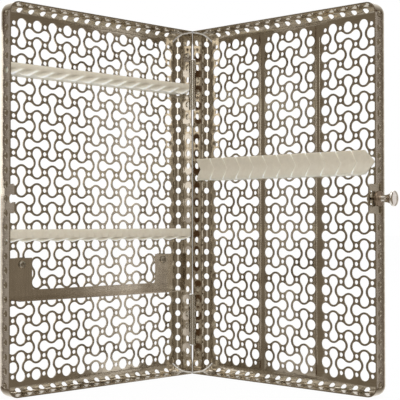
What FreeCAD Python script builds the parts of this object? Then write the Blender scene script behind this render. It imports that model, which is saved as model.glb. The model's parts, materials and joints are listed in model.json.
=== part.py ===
"""Instrument cassette: two perforated trays hinged along one long edge, standing open on its end.

The hinge axis is vertical. Each tray is described by three local distances: u from the hinge axis
towards the front wall, w from the rim plane towards the panel, and z up along the hinge.
The base tray lies along -X with its inside facing -Y. The lid is drawn closed over it and then
turned about the hinge axis to its open position.
"""
import FreeCAD, Part
import math
import os
from FreeCAD import Vector

# Perforation lattice of both panels
lattice_pitch = 6.0
lattice_columns = 23
lattice_rows = 39
strut_width = 1.32
slot_half_length = 7.1
hinge_margin = 10.8
front_margin = 12.0
end_margin = 10.8

# Pressed trays
tray_depth = 15.1
sheet = 0.8
fold_radius = 6.5
corner_radius = 7.0
rim_relief = 0.15
bead_columns = (7, 15)
bead_width = 4.5
bead_height = 0.7
bead_overrun = 4.0

# Butt hinges
open_angle = 95.5
axis_offset = 0.5
leaf_sheet = 0.7
barrel_radius = 1.95
pin_radius = 1.15
pin_clearance = 0.05
hinge_end_distance = 39.3
barrel_length = 36.0
middle_knuckle = 18.0
knuckle_gap = 0.15
wide_leaf_length = 54.0
wide_leaf_height = 7.6
narrow_leaf_height = 6.2
leaf_relief = 0.3
pin_overhang = 0.3
barrel_clearance = 0.4

# Silicone rails of the base tray
upper_rail_row = 5.25
lower_rail_row = 22.8
rail_width = 6.8
rail_height = 13.6
rail_pocket_pitch = 12.0
rail_pocket_length = 5.0
rail_pocket_top = 4.0
rail_pocket_reach = 6.0
rail_pocket_slant = 2.6
rail_pocket_depth = 1.8
rail_end_chamfer = 6.2

# Silicone hold-down strip of the lid
strip_row = 15.1
strip_width = 15.6
strip_height = 13.6
chevron_pitch = 12.0
chevron_reach = 4.4
chevron_slit = 1.0
chevron_depth = 3.0
soft_clearance = 0.3
barrel_gap = 0.6

# Accessory bracket of the base tray
bracket_sheet = 0.8
bracket_top_row = 25.3
bracket_bottom_row = 29.8
bracket_bar_row = 28.75
bracket_front_column = -0.55
bracket_hinge_column = 22.55
window_front_column = 2.3
window_hinge_column = 19.85
window_radius = 2.0
flange_height = 13.4
screw_row = 26.0
screw_columns = (1, 21)
screw_radius = 1.5
screw_head_radius = 2.65
screw_head_height = 1.6
screw_head_taper = 0.7
nut_width = 9.0
nut_height = 1.8

# Catch on the base tray and latch on the lid
latch_drop = 1.5
tongue_reach = 5.7
tongue_width = 18.4
tongue_tip_width = 16.2
seat_radius = 2.8
mouth_width = 4.5
notch_width = 19.6
notch_depth = 6.6
latch_plate_sheet = 1.0
latch_plate_offset = 0.4
latch_plate_width = 29.4
latch_plate_depth = 7.6
tab_reach = 5.8
tab_width = 18.6
tab_corner = 2.0
housing_radius = 2.95
housing_length = 3.6
housing_wall = 0.4
window_gap = 1.4
window_width = 4.2
window_near = 1.4
window_far = 4.8
stem_radius = 1.95
boss_radius = 2.5
collar_radius = 4.95
collar_thickness = 2.0
knob_neck_radius = 2.5
knob_length = 10.6
knob_head_radius = 5.0
knob_rim = 1.4
clip_thickness = 0.4
clip_radius = 2.4
spring_radius = 2.17
spring_wire = 0.3

tray_width = hinge_margin + (lattice_columns - 1) * lattice_pitch + front_margin
tray_height = (lattice_rows - 1) * lattice_pitch + 2 * end_margin
mid_height = tray_height / 2
panel_inside = tray_depth - sheet
slot_half_width = 2 * lattice_pitch - strut_width - slot_half_length

BASE = 1
LID = -1


def point(side, u, w, z):
    return Vector(-u, side * w, z)


def block(side, u, w, z):
    """A box between two values of each local distance."""
    low = min(side * w[0], side * w[1])
    return Part.makeBox(u[1] - u[0], w[1] - w[0], z[1] - z[0], Vector(-u[1], low, z[0]))


def sheet_form(corners, thickness):
    """A flat outline given thickness along a direction."""
    return Part.Face(Part.makePolygon(corners + [corners[0]])).extrude(thickness)


def rounded(shape, radius, chosen):
    return shape.makeFillet(radius, [edge for edge in shape.Edges if chosen(edge)])


def runs_along(edge, axis):
    if len(edge.Vertexes) != 2:
        return False
    run = edge.Vertexes[1].Point - edge.Vertexes[0].Point
    return run.Length > 1e-6 and abs(run.dot(axis)) > 0.999 * run.Length


def row_height(row):
    return tray_height - end_margin - row * lattice_pitch


def column_distance(side, column):
    """Columns count from the front of the base tray and from the hinge of the lid."""
    from_hinge = column if side == LID else lattice_columns - 1 - column
    return hinge_margin + from_hinge * lattice_pitch


def opening(side, column, row, across, along, aside=0.0):
    """Corners of one opening in the panel, from its middle and its half sizes."""
    u = column_distance(side, column) + aside
    z = row_height(row)
    return [point(side, u + du, panel_inside, z + dz)
            for du, dz in ((across, along), (-across, along), (-across, -along), (across, -along))]


def slot(side, column, row, upright):
    """The two lobes and the waist between them as one straight slot."""
    if upright:
        return opening(side, column, row, slot_half_width, slot_half_length)
    return opening(side, column, row, slot_half_length, slot_half_width)


def perforations(side):
    """Slots alternate between upright and level; a bead leaves only the two ends of a level slot."""
    beads = bead_columns if side == LID else ()
    foot = (bead_width + strut_width) / 2
    half_end = (slot_half_length - foot) / 2
    holes = []
    for column in range(1, lattice_columns, 2):
        for row in range(1, lattice_rows, 2):
            upright = (column % 4, row % 4) in ((1, 1), (3, 3))
            if column not in beads:
                holes.append(slot(side, column, row, upright))
            elif not upright:
                holes += [opening(side, column, row, half_end, slot_half_width, beside * (foot + half_end))
                          for beside in (-1, 1)]
    return holes


def perforated_panel(side):
    """The flat middle of the panel, up to where the folds begin."""
    u = (axis_offset + fold_radius, tray_width - fold_radius)
    z = (fold_radius, tray_height - fold_radius)
    outline = [point(side, u[0], panel_inside, z[0]), point(side, u[1], panel_inside, z[0]),
               point(side, u[1], panel_inside, z[1]), point(side, u[0], panel_inside, z[1])]
    wires = [Part.makePolygon(outline + [outline[0]])]
    wires += [Part.makePolygon(hole + [hole[0]]) for hole in perforations(side)]
    face = Part.makeFace(wires, "Part::FaceMakerBullseye")
    return face.extrude(Vector(0, side * sheet, 0))


def pressed_block(side, inset):
    """The outside of the tray, or its inside when the sheet's thickness is the inset."""
    body = block(side, (axis_offset + inset, tray_width - inset), (rim_relief - 2 * inset, tray_depth - inset),
                 (inset, tray_height - inset))
    front = -(tray_width - inset)
    panel = side * (tray_depth - inset)
    body = rounded(body, corner_radius - inset,
                   lambda edge: runs_along(edge, Vector(0, 1, 0)) and abs(edge.Vertexes[0].X - front) < 1e-6)
    return rounded(body, fold_radius - inset,
                   lambda edge: all(abs(vertex.Y - panel) < 1e-6 for vertex in edge.Vertexes))


def hinge_centres():
    return (hinge_end_distance, tray_height - hinge_end_distance)


def barrel_notches(side):
    """Recesses in the hinge wall's rim for the two hinge barrels."""
    half = barrel_length / 2 + pin_overhang + barrel_clearance
    depth = barrel_radius + barrel_clearance
    u = (axis_offset - sheet, axis_offset + 2 * sheet)
    return [block(side, u, (-sheet, depth), (z - half, z + half)) for z in hinge_centres()]


def tray(side):
    shell = pressed_block(side, 0).cut(pressed_block(side, sheet))
    flat_u = (axis_offset + fold_radius, tray_width - fold_radius)
    flat_z = (fold_radius, tray_height - fold_radius)
    shell = shell.cut(block(side, flat_u, (panel_inside - sheet, tray_depth + sheet), flat_z))
    shell = shell.cut(Part.makeCompound(barrel_notches(side)))
    return shell.fuse(perforated_panel(side))


def one_solid(shape):
    clean = shape.removeSplitter()
    return clean.Solids[0] if len(clean.Solids) == 1 else clean


def keyhole(side, u):
    """Round seat of the catch with a narrower mouth that opens at the tip."""
    seat = Part.makeCylinder(seat_radius, u[1] - u[0], point(side, u[1], -latch_drop, mid_height), Vector(1, 0, 0))
    half = mouth_width / 2
    mouth = block(side, u, (-tongue_reach - sheet, -latch_drop), (mid_height - half, mid_height + half))
    return seat.fuse(mouth)


def screw_bore(column):
    """The bracket's screw passes the panel at the round end of an opening."""
    start = point(BASE, column_distance(BASE, column), panel_inside - sheet, row_height(screw_row))
    return Part.makeCylinder(screw_radius + pin_clearance, 3 * sheet, start, Vector(0, 1, 0))


def base_tray():
    """The front wall rises beyond the rim in a forked tongue, the catch of the latch."""
    body = tray(BASE).cut([screw_bore(column) for column in screw_columns])
    u = tray_width - sheet
    half_root = tongue_width / 2
    half_tip = tongue_tip_width / 2
    slope = half_root - half_tip
    outline = [(rim_relief + sheet, half_root), (-tongue_reach + 2 * slope, half_root), (-tongue_reach, half_tip),
               (-tongue_reach, -half_tip), (-tongue_reach + 2 * slope, -half_root), (rim_relief + sheet, -half_root)]
    corners = [point(BASE, u, w, mid_height + z) for w, z in outline]
    tongue = sheet_form(corners, Vector(-sheet, 0, 0))
    return one_solid(body.fuse(tongue).cut(keyhole(BASE, (u - sheet, u + 2 * sheet))))


def bead(column, level, spread):
    """Pressed stiffening bead of the lid: a low trapezium along the whole panel."""
    u = column_distance(LID, column)
    half_root = bead_width / 2 + spread
    half_top = half_root - bead_height
    z = end_margin - bead_overrun
    top = level - bead_height
    profile = [(-half_root, level), (-half_top, top), (half_top, top), (half_root, level)]
    corners = [point(LID, u + du, w, z) for du, w in profile]
    return sheet_form(corners, Vector(0, 0, tray_height - 2 * z))


def lid_tray():
    """Two beads stand inwards from the panel, and the front wall's rim has a notch for the catch."""
    body = tray(LID)
    half = notch_width / 2
    notch = block(LID, (tray_width - 2 * sheet, tray_width + sheet), (-sheet, notch_depth),
                  (mid_height - half, mid_height + half))
    body = body.cut(notch)
    body = body.fuse([bead(column, panel_inside, 0) for column in bead_columns])
    body = body.cut([bead(column, tray_depth, -bead_height / 2) for column in bead_columns])
    return one_solid(body)


def leaf_plate(side, centre, length, height):
    return block(side, (axis_offset - leaf_sheet, axis_offset), (leaf_relief, height),
                 (centre - length / 2, centre + length / 2))


def knuckle(side, low, high):
    """One rolled knuckle with the strip that joins it to its leaf."""
    ring = Part.makeCylinder(barrel_radius, high - low, Vector(0, 0, low), Vector(0, 0, 1))
    return ring.fuse(block(side, (axis_offset - leaf_sheet, axis_offset), (0, barrel_radius), (low, high)))


def pin_bore(centre):
    radius = pin_radius + pin_clearance
    return Part.makeCylinder(radius, 2 * barrel_length, Vector(0, 0, centre - barrel_length), Vector(0, 0, 1))


def wide_leaf(side, centre):
    """Long leaf with the two outer knuckles; its slot lets the other leaf lie beside it."""
    half = barrel_length / 2
    inner = middle_knuckle / 2 + knuckle_gap
    slot_half = inner + knuckle_gap
    slot = block(side, (-sheet, 2 * sheet), (-sheet, narrow_leaf_height + leaf_relief),
                 (centre - slot_half, centre + slot_half))
    leaf = leaf_plate(side, centre, wide_leaf_length, wide_leaf_height).cut(slot)
    knuckles = [knuckle(side, centre - half, centre - inner), knuckle(side, centre + inner, centre + half)]
    return one_solid(leaf.fuse(knuckles).cut(pin_bore(centre)))


def narrow_leaf(side, centre):
    half = middle_knuckle / 2
    leaf = leaf_plate(side, centre, middle_knuckle, narrow_leaf_height)
    return one_solid(leaf.fuse(knuckle(side, centre - half, centre + half)).cut(pin_bore(centre)))


def hinge_pin(centre):
    """Plain pin that stands a little out of the barrel at both ends."""
    half = barrel_length / 2 + pin_overhang
    return Part.makeCylinder(pin_radius, 2 * half, Vector(0, 0, centre - half), Vector(0, 0, 1))


def soft_bar(side, row, width, height):
    """A moulded bar across the tray, seated on the panel, with its root clear of the folds."""
    near = barrel_radius + barrel_gap
    far = tray_width - sheet - soft_clearance
    top = panel_inside - height
    bevel = panel_inside - rail_end_chamfer
    outline = [(near, top), (far, top), (far, bevel), (far - rail_end_chamfer, panel_inside),
               (near + rail_end_chamfer, panel_inside), (near, bevel)]
    z = row_height(row) - width / 2
    corners = [point(side, u, w, z) for u, w in outline]
    return sheet_form(corners, Vector(0, 0, width))


def rail(row):
    """Rail with slanted pockets moulded into both long sides, one pair for each instrument."""
    body = soft_bar(BASE, row, rail_width, rail_height)
    top = panel_inside - rail_height + rail_pocket_top
    bottom = top + rail_pocket_reach
    middle = tray_width / 2
    half = rail_pocket_length / 2
    count = int((tray_width / 2 - rail_end_chamfer) // rail_pocket_pitch)
    pockets = []
    for number in range(-count, count + 1):
        u = middle + number * rail_pocket_pitch
        outline = [(u - half, top), (u + half, top), (u + half + rail_pocket_slant, bottom),
                   (u - half + rail_pocket_slant, bottom)]
        for z in (row_height(row) - rail_width / 2, row_height(row) + rail_width / 2 - rail_pocket_depth):
            corners = [point(BASE, x, w, z) for x, w in outline]
            pockets.append(sheet_form(corners, Vector(0, 0, rail_pocket_depth)))
    return one_solid(body.cut(Part.makeCompound(pockets)))


def hold_down_strip():
    """Wide soft strip of the lid: both ends and all slits have the same chevron, which points to the latch."""
    top = panel_inside - strip_height
    middle_z = row_height(strip_row)
    half = strip_width / 2
    near = barrel_radius + barrel_gap
    far = tray_width - sheet - soft_clearance
    outline = [(near, half), (far - chevron_reach, half), (far, 0), (far - chevron_reach, -half), (near, -half),
               (near + chevron_reach, 0)]
    plan = [point(LID, u, top, middle_z + z) for u, z in outline]
    body = sheet_form(plan, Vector(0, LID * strip_height, 0))
    body = body.common(soft_bar(LID, strip_row, strip_width, strip_height))
    count = int((tray_width / 2 - rail_end_chamfer) // chevron_pitch)
    slits = []
    for number in range(-count, count + 1):
        u = tray_width / 2 + number * chevron_pitch - chevron_reach / 2
        outline = [(u, half), (u + chevron_slit, half), (u + chevron_reach + chevron_slit, 0),
                   (u + chevron_slit, -half), (u, -half), (u + chevron_reach, 0)]
        corners = [point(LID, x, top, middle_z + z) for x, z in outline]
        slits.append(sheet_form(corners, Vector(0, LID * chevron_depth, 0)))
    body = body.cut(Part.makeCompound(slits))
    return one_solid(body.cut([bead(column, panel_inside, 0) for column in bead_columns]))


def accessory_bracket():
    """One folded sheet: two legs and a bar on the panel, and a flange that stands up from the bar."""
    front = column_distance(BASE, bracket_front_column)
    back = column_distance(BASE, bracket_hinge_column)
    high = row_height(bracket_top_row)
    low = row_height(bracket_bottom_row)
    w = (panel_inside - bracket_sheet, panel_inside)
    across = Vector(0, 1, 0)
    plate = block(BASE, (back, front), w, (low, high))
    window_low = row_height(bracket_bar_row)
    window = block(BASE, (column_distance(BASE, window_hinge_column), column_distance(BASE, window_front_column)),
                   (w[0] - bracket_sheet, w[1] + bracket_sheet), (window_low, high + 2 * window_radius))
    window = rounded(window, window_radius,
                     lambda edge: runs_along(edge, across) and edge.Vertexes[0].Z < window_low + window_radius)
    flange = block(BASE, (back, front), (panel_inside - flange_height, panel_inside), (low, low + bracket_sheet))
    body = plate.cut(window).fuse(flange)
    for column in screw_columns:
        start = point(BASE, column_distance(BASE, column), w[0] - bracket_sheet, row_height(screw_row))
        body = body.cut(Part.makeCylinder(screw_radius, 3 * bracket_sheet, start, across))
    return one_solid(body)


def hexagon(centre, width, height, direction):
    radius = width / math.sqrt(3)
    corners = []
    for step in range(6):
        angle = math.radians(60 * step)
        corners.append(centre + Vector(radius * math.cos(angle), 0, radius * math.sin(angle)))
    return sheet_form(corners, direction * height)


def bracket_screw(column):
    """Button-head screw through the bracket and a lobe of the panel."""
    outward = Vector(0, 1, 0)
    seat = point(BASE, column_distance(BASE, column), panel_inside - bracket_sheet, row_height(screw_row))
    shank = bracket_sheet + sheet + nut_height
    top = screw_head_taper * screw_head_radius
    profile = [(0, shank), (screw_radius, shank), (screw_radius, 0), (screw_head_radius, 0),
               (top, -screw_head_height), (0, -screw_head_height)]
    corners = [seat + Vector(r, y, 0) for r, y in profile]
    return Part.Face(Part.makePolygon(corners + [corners[0]])).revolve(seat, outward, 360)


def bracket_nut(column):
    """Thin hexagon nut on the outside of the panel, wide enough to bridge the lobe."""
    outward = Vector(0, 1, 0)
    seat = point(BASE, column_distance(BASE, column), tray_depth, row_height(screw_row))
    bore = Part.makeCylinder(screw_radius, 3 * nut_height, seat - outward * nut_height, outward)
    return hexagon(seat, nut_width, nut_height, outward).cut(bore)


def latch_axis(u):
    return point(LID, u, latch_drop, mid_height)


def latch_plate_faces():
    outer = tray_width - sheet - latch_plate_offset
    return outer - latch_plate_sheet, outer


def latch_plate():
    """Shallow hat section inside the lid's front wall, with a tab that passes inside the base's wall."""
    inner, outer = latch_plate_faces()
    half_tab = tab_width / 2
    half_plate = latch_plate_width / 2
    wall = tray_width - sheet
    profile = [(inner, half_tab), (outer, half_tab), (wall, half_tab), (wall, half_plate),
               (wall - latch_plate_sheet, half_plate), (wall - latch_plate_sheet, half_tab + sheet)]
    root = rim_relief + latch_plate_offset
    run = Vector(0, LID * (latch_plate_depth - root), 0)
    wings = []
    for turn in (1, -1):
        corners = [point(LID, u, root, mid_height + turn * z) for u, z in profile]
        wings.append(sheet_form(corners, run))
    body = block(LID, (inner, outer), (-tab_reach, latch_plate_depth), (mid_height - half_tab, mid_height + half_tab))
    body = rounded(body, tab_corner, lambda edge: runs_along(edge, Vector(1, 0, 0)) and edge.Vertexes[0].Y > 0)
    body = body.fuse(wings)
    bore = Part.makeCylinder(stem_radius + pin_clearance, 4 * latch_plate_sheet, latch_axis(outer + latch_plate_sheet), Vector(1, 0, 0))
    body = body.cut(bore)
    for turn in (1, -1):
        near = turn * window_gap / 2
        far = turn * (window_gap / 2 + window_width)
        z = (mid_height + min(near, far), mid_height + max(near, far))
        body = body.cut(block(LID, (inner - latch_plate_sheet, outer + latch_plate_sheet), (-window_far, -window_near), z))
    return one_solid(body)


def latch_housing():
    """Round pressed cup behind the latch plate; it closes in the spring."""
    seat = latch_plate_faces()[0]
    outward = Vector(1, 0, 0)
    cup = Part.makeCylinder(housing_radius, housing_length, latch_axis(seat), outward)
    depth = housing_length - housing_wall
    return cup.cut(Part.makeCylinder(housing_radius - housing_wall, depth, latch_axis(seat), outward))


def latch_stations():
    """Distances along the latch axis: stem end, boss root, collar's two faces and the knob's end."""
    seat = latch_plate_faces()[0]
    stem_end = seat - housing_length + housing_wall + clip_thickness / 2
    boss_root = tray_width - sheet - latch_plate_offset / 2
    collar_in = tray_width + soft_clearance
    collar_out = collar_in + collar_thickness
    return stem_end, boss_root, collar_in, collar_out, collar_out + knob_length


def latch_knob():
    """Turned knob, collar, locking boss and stem in one piece."""
    stem_end, boss_root, collar_in, collar_out, end = latch_stations()
    flare = end - knob_rim - (knob_head_radius - knob_neck_radius)
    profile = [(stem_end, 0), (stem_end, stem_radius), (boss_root, stem_radius), (boss_root, boss_radius),
               (collar_in, boss_radius), (collar_in, collar_radius), (collar_out, collar_radius),
               (collar_out, knob_neck_radius), (flare, knob_neck_radius), (end - knob_rim, knob_head_radius),
               (end, knob_head_radius), (end, 0)]
    corners = [latch_axis(u) + Vector(0, 0, radius) for u, radius in profile]
    outline = Part.Face(Part.makePolygon(corners + [corners[0]]))
    return outline.revolve(latch_axis(0), Vector(1, 0, 0), 360)


def latch_clip():
    """Retaining ring on the inner end of the stem."""
    start = latch_axis(latch_stations()[0] + clip_thickness)
    ring = Part.makeCylinder(clip_radius, clip_thickness, start, Vector(1, 0, 0))
    return ring.cut(Part.makeCylinder(stem_radius, clip_thickness, start, Vector(1, 0, 0)))


def latch_spring():
    """Plain sleeve in the place of the compression spring between the retaining ring and the plate."""
    inner_end = latch_stations()[0] + clip_thickness
    length = latch_plate_faces()[0] - inner_end
    start = latch_axis(inner_end + length)
    sleeve = Part.makeCylinder(spring_radius + spring_wire / 2, length, start, Vector(1, 0, 0))
    return sleeve.cut(Part.makeCylinder(spring_radius - spring_wire / 2, length, start, Vector(1, 0, 0)))


def build():
    low, high = hinge_centres()
    base = {
        "base_tray": base_tray(),
        "upper_rail": rail(upper_rail_row),
        "lower_rail": rail(lower_rail_row),
        "accessory_bracket": accessory_bracket(),
        "bracket_screw_front": bracket_screw(screw_columns[0]),
        "bracket_screw_hinge": bracket_screw(screw_columns[1]),
        "bracket_nut_front": bracket_nut(screw_columns[0]),
        "bracket_nut_hinge": bracket_nut(screw_columns[1]),
        "upper_hinge_base_leaf": wide_leaf(BASE, high),
        "lower_hinge_base_leaf": narrow_leaf(BASE, low),
        "upper_hinge_pin": hinge_pin(high),
    }
    lid = {
        "lid_tray": lid_tray(),
        "hold_down_strip": hold_down_strip(),
        "upper_hinge_lid_leaf": narrow_leaf(LID, high),
        "lower_hinge_lid_leaf": wide_leaf(LID, low),
        "lower_hinge_pin": hinge_pin(low),
        "latch_plate": latch_plate(),
        "latch_housing": latch_housing(),
        "latch_knob": latch_knob(),
        "latch_clip": latch_clip(),
        "latch_spring": latch_spring(),
    }
    for shape in lid.values():
        shape.rotate(Vector(0, 0, 0), Vector(0, 0, 1), open_angle)
    return {**base, **lid}


def main():
    parts = build()
    extent = Part.makeCompound(list(parts.values())).optimalBoundingBox(False)
    shift = Vector(-(extent.XMin + extent.XMax) / 2, -(extent.YMin + extent.YMax) / 2, -extent.ZMin)
    os.makedirs("parts", exist_ok=True)
    for name, shape in parts.items():
        shape.translate(shift)
        shape.exportStep(os.path.join("parts", name + ".step"))
        print(name, shape.isValid(), len(shape.Solids), round(shape.Volume, 1))
    print("hinge axis", round(shift.x, 4), round(shift.y, 4), "floor", round(shift.z, 4))
    print("size", round(extent.XLength, 2), round(extent.YLength, 2), round(extent.ZLength, 2))


main()
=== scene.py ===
"""Instrument cassette of perforated steel, standing open like a book, dressed for its picture.

Each tray is drawn in its own three distances, in millimetres: u from the hinge axis to the front
wall, w from the rim plane to the panel, and z up along the hinge.
"""
import json
import math

import bmesh
import bpy
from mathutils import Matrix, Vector


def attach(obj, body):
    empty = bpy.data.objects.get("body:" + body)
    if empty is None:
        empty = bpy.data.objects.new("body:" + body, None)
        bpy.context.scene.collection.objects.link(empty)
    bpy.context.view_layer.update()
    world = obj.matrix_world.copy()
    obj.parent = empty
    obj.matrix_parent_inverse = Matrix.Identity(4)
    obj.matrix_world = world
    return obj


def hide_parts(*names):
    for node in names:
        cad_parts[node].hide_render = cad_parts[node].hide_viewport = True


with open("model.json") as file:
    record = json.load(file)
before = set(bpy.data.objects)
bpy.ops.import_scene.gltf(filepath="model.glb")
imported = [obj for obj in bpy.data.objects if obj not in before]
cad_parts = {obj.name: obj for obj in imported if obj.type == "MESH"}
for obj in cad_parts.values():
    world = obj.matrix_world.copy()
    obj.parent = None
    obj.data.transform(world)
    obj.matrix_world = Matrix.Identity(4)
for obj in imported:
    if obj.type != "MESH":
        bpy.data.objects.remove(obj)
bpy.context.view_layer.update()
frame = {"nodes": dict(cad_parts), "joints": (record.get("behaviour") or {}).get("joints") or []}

MM = 0.001
BASE = 1
LID = -1

# Hinge: the walls stand off the axis, and a little more where the leaves are seated behind them
AXIS = Vector(frame["joints"][0]["pos_m"]) / MM
OPEN_ANGLE = math.radians(95.5)
AXIS_OFFSET = 0.05
LEAF_SEAT = 0.56
LEAF_SEAT_HALF = 28.0
SEAT_EASE = 3.0

# Pressed trays
PITCH = 6.0
COLUMNS = 23
ROWS = 39
STRUT = 1.32
SMALL_HOLE_RADIUS = 1.42
HINGE_MARGIN = 10.8
FRONT_MARGIN = 12.0
END_MARGIN = 10.8
TRAY_DEPTH = 15.1
SHEET = 0.8
FOLD_RADIUS = 6.5
CORNER_RADIUS = 7.0
RIM_RELIEF = 0.06
TRAY_WIDTH = HINGE_MARGIN + (COLUMNS - 1) * PITCH + FRONT_MARGIN
TRAY_HEIGHT = (ROWS - 1) * PITCH + 2 * END_MARGIN
MIDDLE = TRAY_HEIGHT / 2

# Beads of the lid: columns, sizes, and the section in shares of the half width and of the height
BEADS = (7, 15)
BEAD_WIDTH = 4.5
BEAD_HEIGHT = 0.7
BEAD_END = 6.8
BEAD_STEPS = 80
BEAD_RUN_OUT = 2
BEAD_PROFILE = ((-1.0, 0.0), (-0.82, 0.12), (-0.6, 0.75), (-0.38, 1.0), (0.0, 1.04), (0.38, 1.0), (0.6, 0.75),
                (0.82, 0.12), (1.0, 0.0))

# Drain holes of the walls and folds
HOLE_PITCH = 9.0
HINGE_HOLE_DROP = 0.6
HOLE_RADIUS = 2.15
HOLE_LEVEL = 4.1
END_CELLS = 15
SIDE_CELLS = 27
CELL_STEPS = 6
HINGE_END_STEPS = 4
CORNER_STEPS = 8
HOLE_STEPS = 24
RING_SHARES = (0.0, 0.3, 0.62, 1.0)
MERGE_DISTANCE = 0.02

# Hinge barrels, catch and latch
HINGE_DISTANCE = 39.3
NOTCH_HALF = 18.7
NOTCH_DEPTH = 2.35
LATCH_DROP = 1.5
TONGUE_REACH = 5.7
TONGUE_HALF = 9.2
TONGUE_TIP_HALF = 8.1
SEAT_RADIUS = 2.8
MOUTH_HALF = 2.25
CATCH_NOTCH_HALF = 9.8
CATCH_NOTCH_DEPTH = 6.6
CATCH_NOTCH_CORNER = 1.0
CATCH_REACH = 1.2 * HOLE_PITCH


def place(side, u, w, z):
    """A point of a tray, in metres in the row frame."""
    if side == BASE:
        return Vector((AXIS.x - u, AXIS.y + w, z)) * MM
    across, along = math.cos(OPEN_ANGLE), math.sin(OPEN_ANGLE)
    return Vector((AXIS.x - u * across + w * along, AXIS.y - u * along - w * across, z)) * MM


# Materials

class Signal:
    """A socket that varies over a surface, so that shader maths reads as an expression."""

    def __init__(self, paint, socket):
        self.paint = paint
        self.socket = socket

    def __add__(self, other):
        return self.paint.maths("ADD", self, other)

    __radd__ = __add__

    def __mul__(self, other):
        return self.paint.maths("MULTIPLY", self, other)

    __rmul__ = __mul__

    def __sub__(self, other):
        return self.paint.maths("SUBTRACT", self, other)

    def __rsub__(self, other):
        return self.paint.maths("SUBTRACT", other, self)


class Paint:
    """A material or a world, and the nodes that make it."""

    def __init__(self, owner):
        owner.use_nodes = True
        self.owner = owner
        self.tree = owner.node_tree
        self.tree.nodes.clear()

    def node(self, kind, settings=None, output=0, **inputs):
        made = self.tree.nodes.new(kind)
        for name, value in (settings or {}).items():
            if name == "stops":
                ramp = made.color_ramp
                while len(ramp.elements) < len(value):
                    ramp.elements.new(0.5)
                for element, (position, colour) in zip(ramp.elements, value):
                    element.position = position
                    element.color = (*colour, 1.0) if len(colour) == 3 else colour
            else:
                setattr(made, name, value)
        for name, value in inputs.items():
            key = int(name[1:]) if name[0] == "i" and name[1:].isdigit() else name.replace("_", " ")
            if isinstance(value, Signal):
                self.tree.links.new(value.socket, made.inputs[key])
            else:
                made.inputs[key].default_value = value
        return Signal(self, made.outputs[output])

    def maths(self, operation, first, second):
        return self.node("ShaderNodeMath", {"operation": operation}, i0=first, i1=second)

    def position(self, stretch=(1.0, 1.0, 1.0), turn=(0.0, 0.0, 0.0)):
        """Object coordinates in millimetres, turned and stretched."""
        here = self.node("ShaderNodeTexCoord", output=3)
        return self.node("ShaderNodeMapping", Vector=here, Rotation=turn,
                         Scale=tuple(value / MM for value in stretch))

    def noise(self, where, scale, detail=3.0, roughness=0.5):
        return self.node("ShaderNodeTexNoise", {"noise_dimensions": "3D"}, Vector=where, Scale=scale,
                         Detail=detail, Roughness=roughness)

    def ramp(self, value, *stops):
        return self.node("ShaderNodeValToRGB", {"stops": stops}, Fac=value)

    def ray(self, kind):
        """One where the light path's ray is of this kind."""
        path = self.tree.nodes.new("ShaderNodeLightPath")
        return Signal(self, path.outputs["Is %s Ray" % kind])

    def close(self, shader, kind="ShaderNodeOutputMaterial"):
        output = self.tree.nodes.new(kind)
        self.tree.links.new(shader.socket, output.inputs[0])
        return self.owner

    def finish(self, bump, bump_height, **inputs):
        """A principled surface with these inputs and a bump of this height in metres."""
        relief = self.node("ShaderNodeBump", Height=bump, Distance=bump_height, Strength=1.0)
        return self.close(self.node("ShaderNodeBsdfPrincipled", Normal=relief, **inputs))


STEEL_RELIEF = 0.00002
SILICONE_RELIEF = 0.00004


def grey(value):
    return (value, value, value)


def steel(name, dark, light, rough, grain=(0.05, 0.05, 1.6), metallic=1.0):
    """Rolled and electropolished sheet: faint lines of grain, soft cloudy change of tone and gloss."""
    paint = Paint(bpy.data.materials.new(name))
    lines = paint.noise(paint.position(grain), 1.0, 4.0, 0.6)
    clouds = paint.noise(paint.position(), 0.055, 3.0, 0.5)
    tone = lines * 0.45 + clouds * 0.55
    colour = paint.ramp(tone, (0.32, dark), (0.68, light))
    gloss = paint.ramp(tone, (0.3, grey(rough * 0.82)), (0.7, grey(rough * 1.2)))
    return paint.finish(lines, STEEL_RELIEF, Base_Color=colour, Metallic=metallic, Roughness=gloss)


def silicone(name):
    """Milky silicone: the piece's own glow attribute is painted light, from painted shade in the pockets over the
    band to painted highlights on the thin edges, ridges and slits.
    """
    paint = Paint(bpy.data.materials.new(name))
    mottle = paint.noise(paint.position(), 0.35, 4.0, 0.6)
    fine = paint.noise(paint.position(), 3.0, 2.0, 0.5)
    glow = paint.node("ShaderNodeAttribute", {"attribute_name": "glow"}, output=2)
    # Colour by the glow attribute: low glow is painted shade, high glow is painted highlight; only the mottle is the
    # silicone's own tone.
    colour = paint.ramp(glow + (mottle - 0.5) * 0.22, (0.0, (0.38, 0.335, 0.25)), (0.3, (0.58, 0.52, 0.415)),
                        (0.62, (0.76, 0.73, 0.62)), (0.95, (0.97, 0.97, 0.92)))
    return paint.finish(fine, SILICONE_RELIEF, Base_Color=colour, Roughness=0.4, Subsurface_Weight=0.2,
                        Subsurface_Radius=(0.004, 0.0035, 0.0025), Subsurface_Scale=1.0)


TRAY_STEEL = steel("tray_steel", (0.42, 0.375, 0.31), (0.59, 0.54, 0.455), 0.1)
BRACKET_STEEL = steel("bracket_steel", (0.5, 0.45, 0.38), (0.68, 0.62, 0.53), 0.16, (1.6, 0.05, 0.05))
HINGE_STEEL = steel("hinge_steel", (0.55, 0.52, 0.46), (0.68, 0.65, 0.58), 0.24)
FASTENER_STEEL = steel("fastener_steel", (0.34, 0.31, 0.26), (0.46, 0.42, 0.36), 0.24)
LATCH_STEEL = steel("latch_steel", (0.44, 0.40, 0.32), (0.56, 0.51, 0.42), 0.24)
KNOB_STEEL = steel("knob_steel", (0.8, 0.77, 0.73), (0.9, 0.88, 0.85), 0.08)
# The collar's dark brown is a painted reflection of the dim room that the polished collar mirrors.
COLLAR_DARK_REFLECTION_STEEL = steel("collar_dark_reflection_steel", (0.26, 0.2, 0.15), (0.36, 0.29, 0.22), 0.3)
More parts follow.
